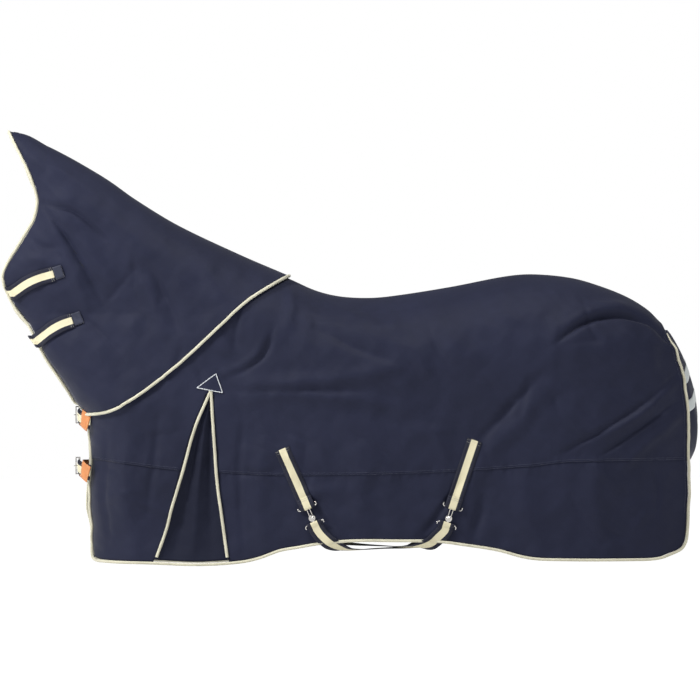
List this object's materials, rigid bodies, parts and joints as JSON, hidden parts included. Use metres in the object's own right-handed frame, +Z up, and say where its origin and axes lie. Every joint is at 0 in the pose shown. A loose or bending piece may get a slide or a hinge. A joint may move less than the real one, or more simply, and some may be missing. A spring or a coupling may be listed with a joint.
{
  "type": "turnout rug",
  "caption": "Combo turnout rug for a horse: navy shell with fixed neck cover, cream piping, pleated shoulders, tail flap, chest closures and crossed belly straps.",
  "frame": {"origin": "underside of the back seam at the withers, where the rug rests on the horse's back", "axes": "+X from the withers to the tail, +Y to the horse's right (far) side, +Z up"},
  "size_m": [2.3051, 0.6257, 1.4409],
  "materials": {
    "shell": "fine ripstop polyester, dark navy, slight sheen",
    "shell_dark": "fine ripstop polyester in a pleat, dark navy",
    "lining": "smooth polyester lining, near black navy",
    "cream_binding": "braided cream piping cord",
    "webbing": "polypropylene webbing, navy with a cream centre stripe",
    "hook_loop": "navy hook-and-loop tape",
    "patch": "woven navy patch with a pale grey outline",
    "reflective": "silver-grey reflective tape",
    "leather": "tan leather, smooth grain",
    "steel": "nickel-plated cast fittings, polished"
  },
  "bodies": {
    "rug": {"near_side_panel": "shell", "far_side_panel": "shell", "near_lower_front_panel": "shell", "far_lower_front_panel": "shell", "near_lower_rear_panel": "shell", "far_lower_rear_panel": "shell", "near_gusset": "shell_dark", "far_gusset": "shell_dark", "near_gusset_piping": "cream_binding", "far_gusset_piping": "cream_binding", "near_body_lining": "lining", "far_body_lining": "lining", "back_seam_tape": "lining", "near_body_binding": "cream_binding", "far_body_binding": "cream_binding", "near_neck_panel": "shell", "far_neck_panel": "shell", "near_neck_lining": "lining", "far_neck_lining": "lining", "near_neck_edge_piping": "cream_binding", "far_neck_edge_piping": "cream_binding", "near_neck_seam_piping": "cream_binding", "far_neck_seam_piping": "cream_binding", "near_patch": "patch", "far_patch": "patch", "neck_strap_base_upper": "webbing", "neck_strap_base_lower": "webbing", "chest_web_upper": "webbing", "chest_web_lower": "webbing", "chest_billet_upper": "leather", "chest_billet_lower": "leather", "chest_chape_upper": "webbing", "chest_chape_lower": "webbing", "chest_buckle_upper": "steel", "chest_buckle_lower": "steel", "surcingle_web_front": "webbing", "surcingle_web_rear": "webbing", "surcingle_hook_front": "steel", "surcingle_hook_rear": "steel", "far_strap_anchor_front": "webbing", "far_strap_anchor_rear": "webbing"},
    "flap": {"tail_flap": "shell", "tail_band_upper": "reflective", "tail_band_lower": "reflective"},
    "neck_strap_upper_free": {"neck_strap_upper": "webbing", "neck_strap_tab_upper": "hook_loop"},
    "neck_strap_lower_free": {"neck_strap_lower": "webbing", "neck_strap_tab_lower": "hook_loop"},
    "tongue_upper": {"chest_tongue_upper": "steel"},
    "tongue_lower": {"chest_tongue_lower": "steel"},
    "cross_strap_front_free": {"cross_strap_front": "webbing", "surcingle_eye_front": "steel"},
    "cross_strap_rear_free": {"cross_strap_rear": "webbing", "surcingle_eye_rear": "steel"}
  },
  "joints": [
    {"name": "tail_flap_lift", "type": "hinge", "parent": "rug", "child": "flap", "pos_m": [1.2325, 0, -0.1595], "axis": [0, -1, 0], "range_deg": [0, 75]},
    {"name": "neck_strap_upper_peel", "type": "hinge", "parent": "rug", "child": "neck_strap_upper_free", "pos_m": [-0.93, 0.07, -0.072], "axis": [0.458, 0, -0.889], "range_deg": [0, 110]},
    {"name": "neck_strap_lower_peel", "type": "hinge", "parent": "rug", "child": "neck_strap_lower_free", "pos_m": [-0.838, 0.085, -0.226], "axis": [0.458, 0, -0.889], "range_deg": [0, 110]},
    {"name": "chest_tongue_upper_pivot", "type": "hinge", "parent": "rug", "child": "tongue_upper", "pos_m": [-0.69496, 0.05313, -0.452], "axis": [0, 0, -1], "range_deg": [0, 130]},
    {"name": "chest_tongue_lower_pivot", "type": "hinge", "parent": "rug", "child": "tongue_lower", "pos_m": [-0.69496, 0.05313, -0.62], "axis": [0, 0, -1], "range_deg": [0, 130]},
    {"name": "cross_strap_front_drop", "type": "hinge", "parent": "rug", "child": "cross_strap_front_free", "pos_m": [0.296, 0.3015, -0.825], "axis": [1, 0, 0], "range_deg": [0, 65]},
    {"name": "cross_strap_rear_drop", "type": "hinge", "parent": "rug", "child": "cross_strap_rear_free", "pos_m": [0.296, 0.3015, -0.825], "axis": [1, 0, 0], "range_deg": [0, 65]}
  ],
  "couplings": [
    {"joint": "cross_strap_rear_drop", "follows": "cross_strap_front_drop", "ratio": 1}
  ]
}
